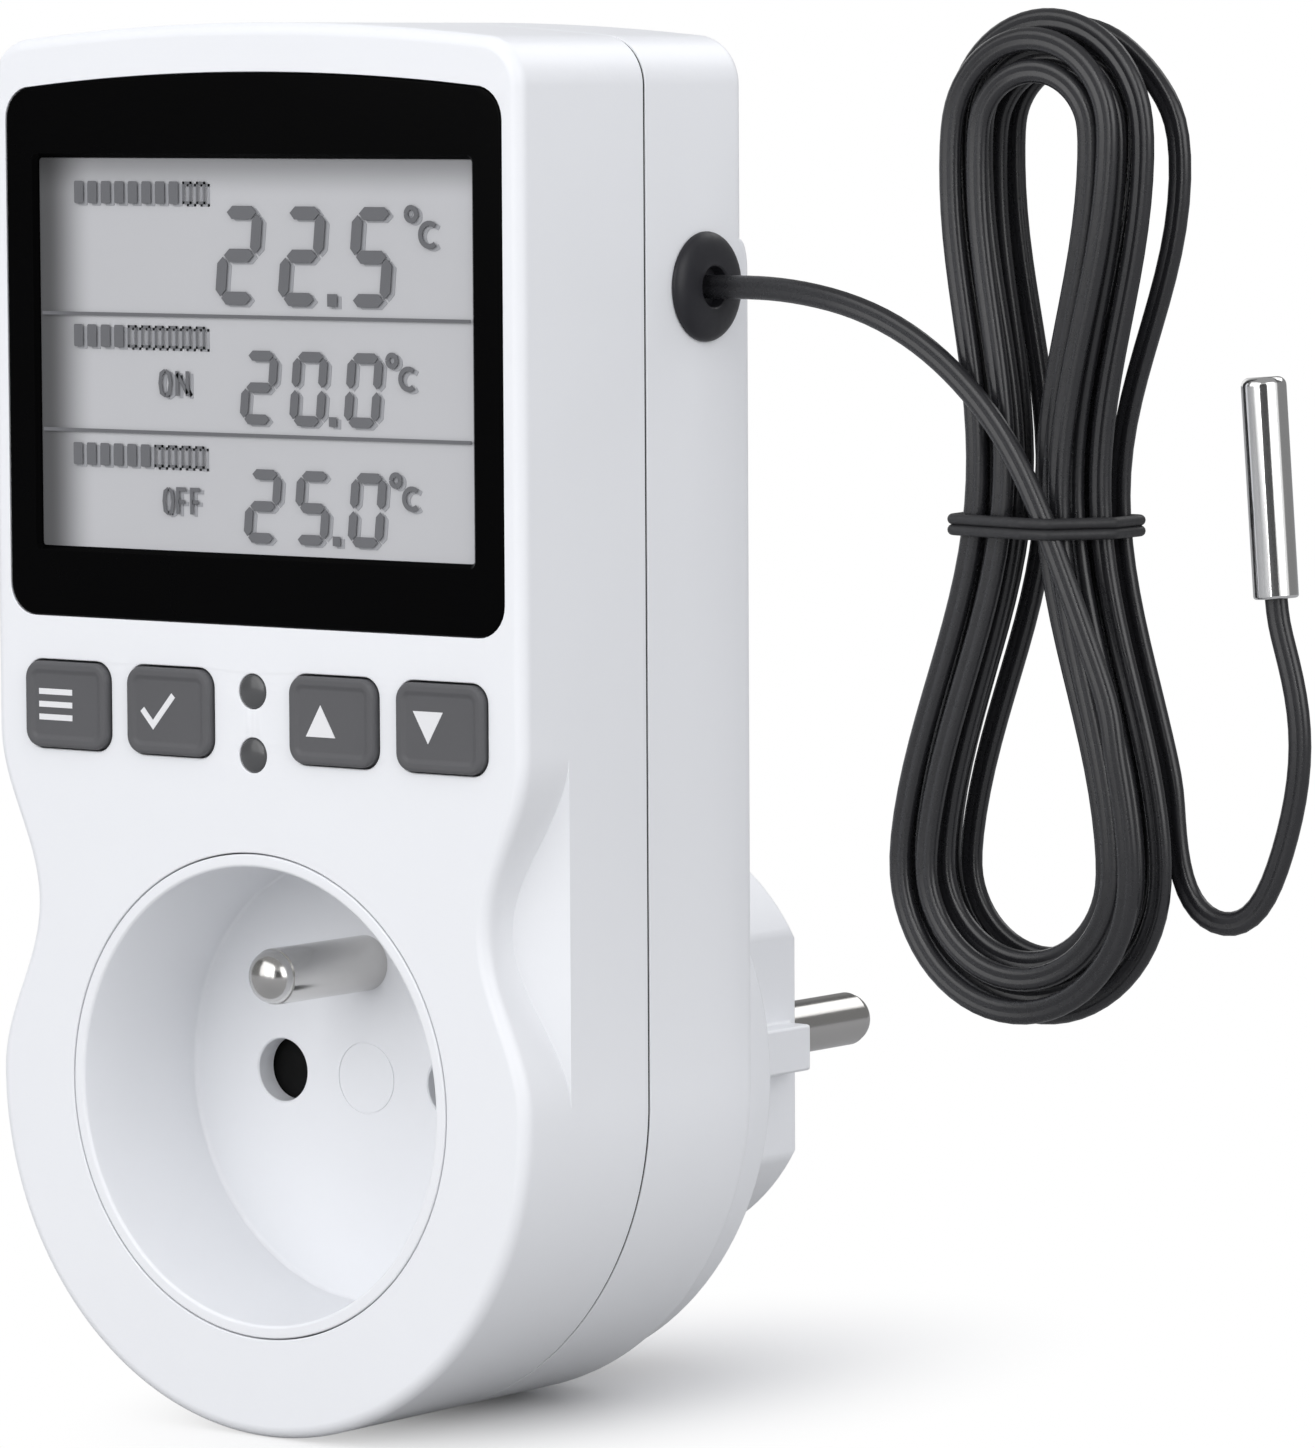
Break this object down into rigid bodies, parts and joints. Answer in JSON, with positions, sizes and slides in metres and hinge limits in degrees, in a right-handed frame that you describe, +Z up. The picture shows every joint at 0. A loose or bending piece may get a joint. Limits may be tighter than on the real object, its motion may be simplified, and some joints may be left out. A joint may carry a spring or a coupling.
{
  "type": "plug-in temperature controller",
  "caption": "Wall-plugged thermostat in a white casing: a shuttered power socket with an earth pin, a display with push buttons, a plug behind, and a metal sensor on a tied hank of cable.",
  "frame": {"origin": "middle of the plug's face, halfway between the roots of its two pins", "axes": "+Y along the pins, from the casing's face towards the wall; +Z up; +X towards the side where the sensor's cable leaves"},
  "size_m": [0.114, 0.074, 0.1204],
  "materials": {
    "white_casing": "satin white moulded plastic with a soft sheen",
    "white_cup": "smooth white moulded plastic",
    "shutter_plastic": "black moulded plastic",
    "guide_plastic": "pale moulded plastic",
    "nickel": "nickel plated, polished",
    "zinc": "zinc plated",
    "spring_steel": "bright spring steel",
    "contact_brass": "pressed brass",
    "black_window": "gloss black",
    "display_glass": "pale grey liquid crystal panel",
    "light_guide": "milky light guide",
    "strip_rubber": "layered conductive rubber",
    "green_board": "green circuit board with solder mask",
    "brown_board": "green circuit board with solder mask",
    "grey_button": "satin dark grey moulded plastic",
    "switch_plastic": "black moulded plastic",
    "lamp_lens": "smoked clear plastic",
    "lamp_resin": "milky resin",
    "chip_resin": "black moulded resin with tinned legs",
    "small_parts": "brown and silver surface parts",
    "relay_case": "black moulded case",
    "capacitor_box": "red moulded box",
    "capacitor_can": "aluminium can in a dark sleeve",
    "varistor_blue": "blue dipped disc",
    "fuse_ceramic": "ceramic body",
    "diode_resin": "black resin",
    "link_pins": "gold plated pins in a black strip",
    "socket_plastic": "cream moulded plastic",
    "wire_blue": "blue insulated wire",
    "black_rubber": "black moulded rubber",
    "cable_black": "black flexible twin cable",
    "tie_black": "black paper-covered wire tie",
    "probe_steel": "polished stainless steel"
  },
  "bodies": {
    "casing": {"front_cover": "white_casing", "rear_cover": "white_casing", "plug_body": "white_casing", "socket_cup": "white_cup", "earth_pin": "nickel", "shutter_spring": "spring_steel", "shutter_guide": "guide_plastic", "guide_screws": "zinc", "live_contact": "contact_brass", "live_feed": "contact_brass", "neutral_contact": "contact_brass", "earth_bar": "contact_brass", "earth_sleeve": "contact_brass", "earth_clips": "contact_brass", "plug_pin_live": "nickel", "plug_pin_neutral": "nickel", "window_frame": "black_window", "lcd_panel": "display_glass", "backlight": "light_guide", "contact_strips": "strip_rubber", "display_board": "green_board", "button_switches": "switch_plastic", "upper_lamp_lens": "lamp_lens", "lower_lamp_lens": "lamp_lens", "lamp_leds": "lamp_resin", "control_chip": "chip_resin", "display_parts": "small_parts", "power_board": "brown_board", "relay": "relay_case", "dropper_capacitor": "capacitor_box", "smoothing_capacitor": "capacitor_can", "varistor": "varistor_blue", "fuse": "fuse_ceramic", "rectifier_diodes": "diode_resin", "board_link": "link_pins", "sensor_socket": "socket_plastic", "neutral_wire": "wire_blue", "board_screws": "zinc", "case_screws": "zinc", "cord_grommet": "black_rubber", "inner_lead": "cable_black", "sensor_lead": "cable_black", "sensor_hank": "cable_black", "sensor_tail": "cable_black", "hank_tie": "tie_black", "sensor_probe": "probe_steel"},
    "set_button": {"set_button": "grey_button"},
    "mode_button": {"mode_button": "grey_button"},
    "up_button": {"up_button": "grey_button"},
    "down_button": {"down_button": "grey_button"},
    "shutter": {"shutter": "shutter_plastic"}
  },
  "joints": [
    {"name": "set_press", "type": "slide", "parent": "casing", "child": "set_button", "axis": [0, 1, 0], "range_m": [0, 0.0008], "stiffness_N_per_m": 300, "springref_m": -0.0008},
    {"name": "mode_press", "type": "slide", "parent": "casing", "child": "mode_button", "axis": [0, 1, 0], "range_m": [0, 0.0008], "stiffness_N_per_m": 300, "springref_m": -0.0008},
    {"name": "up_press", "type": "slide", "parent": "casing", "child": "up_button", "axis": [0, 1, 0], "range_m": [0, 0.0008], "stiffness_N_per_m": 300, "springref_m": -0.0008},
    {"name": "down_press", "type": "slide", "parent": "casing", "child": "down_button", "axis": [0, 1, 0], "range_m": [0, 0.0008], "stiffness_N_per_m": 300, "springref_m": -0.0008},
    {"name": "shutter_slide", "type": "slide", "parent": "casing", "child": "shutter", "axis": [1, 0, 0], "range_m": [0, 0.0065], "stiffness_N_per_m": 60, "springref_m": -0.003, "deforming": ["shutter_spring"]}
  ]
}
